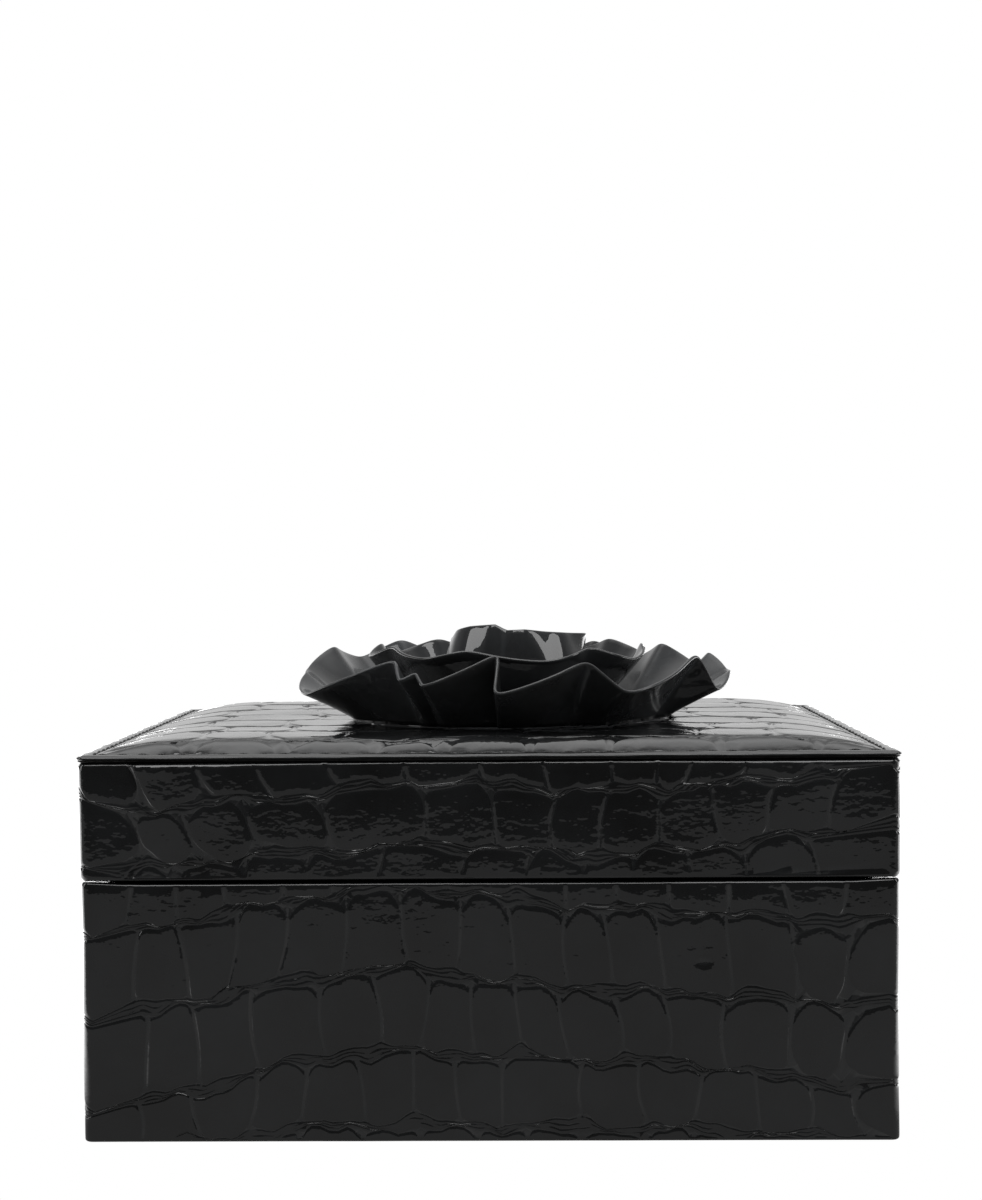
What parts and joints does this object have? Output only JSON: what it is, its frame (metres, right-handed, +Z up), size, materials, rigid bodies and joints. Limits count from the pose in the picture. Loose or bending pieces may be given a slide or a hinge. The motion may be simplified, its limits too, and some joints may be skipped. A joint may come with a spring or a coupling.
{
  "type": "jewelry gift box",
  "caption": "Rectangular jewelry gift box in black patent crocodile-embossed leather, with a hinged lid, a lift-out tray, a mirror and a pleated leather flower on the lid.",
  "frame": {"origin": "centre of the box's underside, on the surface it stands on", "axes": "+X to the right along the box's width, +Y towards the hinges at the back, +Z up"},
  "size_m": [0.2032, 0.1576, 0.1286],
  "materials": {
    "patent_leather": "high-gloss patent with crocodile embossing",
    "petal_leather": "high-gloss patent, smooth",
    "fibreboard": "raw medium-density fibreboard",
    "velvet": "short-pile velvet",
    "felt": "pressed felt",
    "padding_foam": "soft foam sheet",
    "thread": "waxed thread",
    "ribbon": "satin",
    "mirror_glass": "silvered glass",
    "brass": "polished brass"
  },
  "bodies": {
    "base": {"base_felt": "felt", "base_bottom_board": "fibreboard", "base_front_board": "fibreboard", "base_back_board": "fibreboard", "base_left_board": "fibreboard", "base_right_board": "fibreboard", "base_wrap": "patent_leather", "base_side_lining": "velvet", "base_floor_pad": "velvet", "tray_ledges": "velvet", "hinge_base_leaves": "brass", "hinge_pins": "brass", "hinge_base_screws": "brass"},
    "lid": {"lid_front_board": "fibreboard", "lid_back_board": "fibreboard", "lid_left_board": "fibreboard", "lid_right_board": "fibreboard", "lid_top_board": "fibreboard", "lid_wrap": "patent_leather", "lid_padding": "padding_foam", "lid_top_panel": "patent_leather", "lid_stitching": "thread", "lid_side_lining": "velvet", "mirror": "mirror_glass", "mirror_surround": "velvet", "hinge_lid_leaves": "brass", "hinge_lid_screws": "brass", "flower_backing": "petal_leather", "flower_outer_ruffle": "petal_leather", "flower_middle_ruffle": "petal_leather", "flower_bud": "petal_leather"},
    "tray": {"tray_floor": "velvet", "tray_front_rail": "velvet", "tray_back_rail": "velvet", "tray_left_rail": "velvet", "tray_right_rail": "velvet", "tray_floor_pad": "velvet", "tray_long_divider": "velvet", "tray_cross_dividers": "velvet", "ring_rolls": "velvet", "tray_ribbons": "ribbon"}
  },
  "joints": [
    {"name": "lid_hinge", "type": "hinge", "parent": "base", "child": "lid", "pos_m": [0, 0.0779, 0.0654], "axis": [-1, 0, 0], "range_deg": [0, 96]},
    {"name": "tray_lift", "type": "slide", "parent": "base", "child": "tray", "axis": [0, 0, 1], "range_m": [0, 0.022]}
  ]
}
